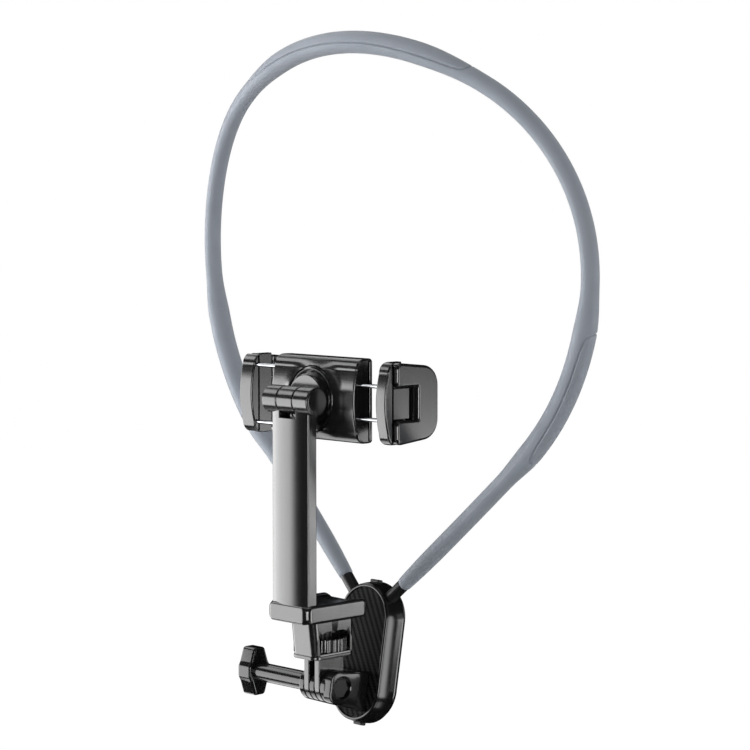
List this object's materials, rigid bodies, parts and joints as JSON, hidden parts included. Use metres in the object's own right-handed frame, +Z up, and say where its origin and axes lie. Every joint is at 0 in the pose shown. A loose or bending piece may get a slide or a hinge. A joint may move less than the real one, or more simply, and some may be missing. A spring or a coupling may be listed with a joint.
{
  "type": "neck phone holder",
  "caption": "Bendable soft neck loop with a pod, a tilting fork, an upright arm and a spring clamp whose claws hold a phone in front of the wearer.",
  "frame": {"origin": "the point inside the top of the loop that rests on the nape of the neck", "axes": "+Z up along the hanging loop, +Y towards the wearer, +X to the right seen from the front"},
  "size_m": [0.2226, 0.0613, 0.2771],
  "materials": {
    "soft_sleeve": "matt silicone",
    "spring_steel": "plain steel",
    "black_metal": "black, half gloss",
    "black_gloss": "gloss black",
    "carbon_weave": "twill weave under gloss",
    "black_satin": "satin black",
    "chrome_rod": "polished",
    "grip_rubber": "matt black"
  },
  "bodies": {
    "neck": {"neck_sleeve": "soft_sleeve", "neck_core": "spring_steel", "ferrule_left": "black_metal", "ferrule_right": "black_metal", "pod_front_shell": "black_gloss", "pod_rear_shell": "black_gloss", "face_plate": "carbon_weave", "fork": "black_gloss", "fork_nut": "black_metal"},
    "screw": {"thumb_screw": "black_metal", "thumb_knob": "black_gloss"},
    "adapter": {"adapter": "black_satin"},
    "wheel": {"thumb_wheel": "black_satin", "lock_stud": "spring_steel"},
    "arm": {"base_plate": "black_satin", "arm": "black_satin", "tilt_pin": "spring_steel"},
    "head": {"swivel_head": "black_satin", "swivel_washer": "spring_steel"},
    "clamp": {"clamp_body": "black_satin", "clamp_cover": "black_satin", "back_pad": "grip_rubber"},
    "left_jaw": {"jaw_left": "black_satin", "rod_left_upper": "chrome_rod", "rod_left_lower": "chrome_rod", "claw_pin_left": "spring_steel"},
    "right_jaw": {"jaw_right": "black_satin", "rod_right_upper": "chrome_rod", "rod_right_lower": "chrome_rod", "claw_pin_right": "spring_steel"},
    "left_claw": {"claw_left": "black_satin", "claw_pad_left": "grip_rubber"},
    "right_claw": {"claw_right": "black_satin", "claw_pad_right": "grip_rubber"}
  },
  "joints": [
    {"name": "fork_tilt", "type": "hinge", "parent": "neck", "child": "adapter", "pos_m": [0, -0.01055, -0.24929], "axis": [1, 0, 0], "range_deg": [-2, 100]},
    {"name": "thumb_screw_turn", "type": "hinge", "parent": "neck", "child": "screw", "pos_m": [0, -0.01055, -0.24929], "axis": [1, 0, 0], "continuous": true},
    {"name": "wheel_turn", "type": "hinge", "parent": "adapter", "child": "wheel", "pos_m": [0, -0.01115, -0.22199], "axis": [0, 0, 1], "continuous": true},
    {"name": "arm_swivel", "type": "hinge", "parent": "adapter", "child": "arm", "pos_m": [0, -0.01115, -0.22199], "axis": [0, 0, 1], "continuous": true},
    {"name": "clamp_tilt", "type": "hinge", "parent": "arm", "child": "head", "pos_m": [0, -0.02625, -0.13499], "axis": [1, 0, 0], "range_deg": [-6, 95]},
    {"name": "clamp_swivel", "type": "hinge", "parent": "head", "child": "clamp", "pos_m": [0, -0.02625, -0.13499], "axis": [0, 1, 0], "continuous": true},
    {"name": "left_jaw_slide", "type": "slide", "parent": "clamp", "child": "left_jaw", "axis": [-1, 0, 0], "range_m": [-0.0115, 0.012]},
    {"name": "right_jaw_slide", "type": "slide", "parent": "clamp", "child": "right_jaw", "axis": [1, 0, 0], "range_m": [-0.0115, 0.012]},
    {"name": "left_claw_fold", "type": "hinge", "parent": "left_jaw", "child": "left_claw", "pos_m": [-0.0375, -0.00345, -0.13499], "axis": [0, 0, -1], "range_deg": [0, 90]},
    {"name": "right_claw_fold", "type": "hinge", "parent": "right_jaw", "child": "right_claw", "pos_m": [0.0375, -0.00345, -0.13499], "axis": [0, 0, 1], "range_deg": [0, 90]}
  ]
}
